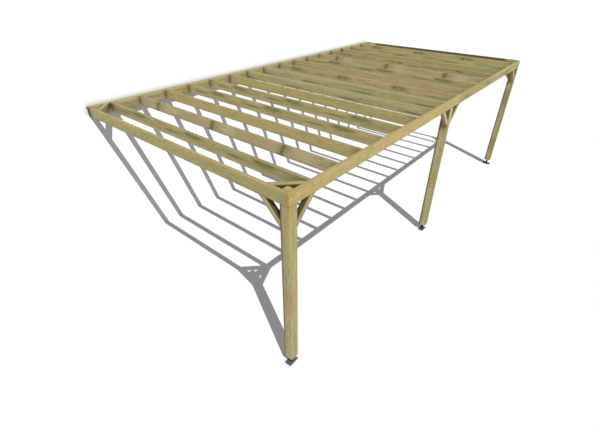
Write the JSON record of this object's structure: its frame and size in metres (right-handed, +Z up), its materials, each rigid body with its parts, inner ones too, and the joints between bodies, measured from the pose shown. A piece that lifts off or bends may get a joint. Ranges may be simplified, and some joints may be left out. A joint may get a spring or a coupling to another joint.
{
  "type": "wall-mounted wooden pergola",
  "caption": "Open timber roof frame for a wall: rafters between a wall plate and a front beam on braced posts with steel feet.",
  "frame": {"origin": "centre of the wall plate's back face, which lies on the wall", "axes": "+X along the wall to the right seen from the front, +Y into the wall, +Z up"},
  "size_m": [7.84, 4.05, 2.52],
  "materials": {
    "beams": "planed pressure-treated softwood, matt",
    "rafters": "planed pressure-treated softwood, matt",
    "posts": "planed pressure-treated softwood, matt",
    "braces": "planed pressure-treated softwood, matt",
    "post_feet": "dark grey powder coat"
  },
  "bodies": {
    "root": {"wall_plate": "beams", "front_beam": "beams", "side_beam_left": "beams", "side_beam_right": "beams", "rafter_01": "rafters", "rafter_02": "rafters", "rafter_03": "rafters", "rafter_04": "rafters", "rafter_05": "rafters", "rafter_06": "rafters", "rafter_07": "rafters", "rafter_08": "rafters", "rafter_09": "rafters", "rafter_10": "rafters", "rafter_11": "rafters", "rafter_12": "rafters", "rafter_13": "rafters", "rafter_14": "rafters", "rafter_15": "rafters", "rafter_16": "rafters", "post_left": "posts", "post_middle": "posts", "post_right": "posts", "knee_brace_left_front": "braces", "knee_brace_left_side": "braces", "knee_brace_middle_left": "braces", "knee_brace_middle_right": "braces", "knee_brace_right_front": "braces", "knee_brace_right_side": "braces", "corner_brace_front_left": "braces", "corner_brace_front_right": "braces", "corner_brace_wall_left": "braces", "corner_brace_wall_right": "braces", "foot_left": "post_feet", "foot_middle": "post_feet", "foot_right": "post_feet"}
  },
  "joints": []
}
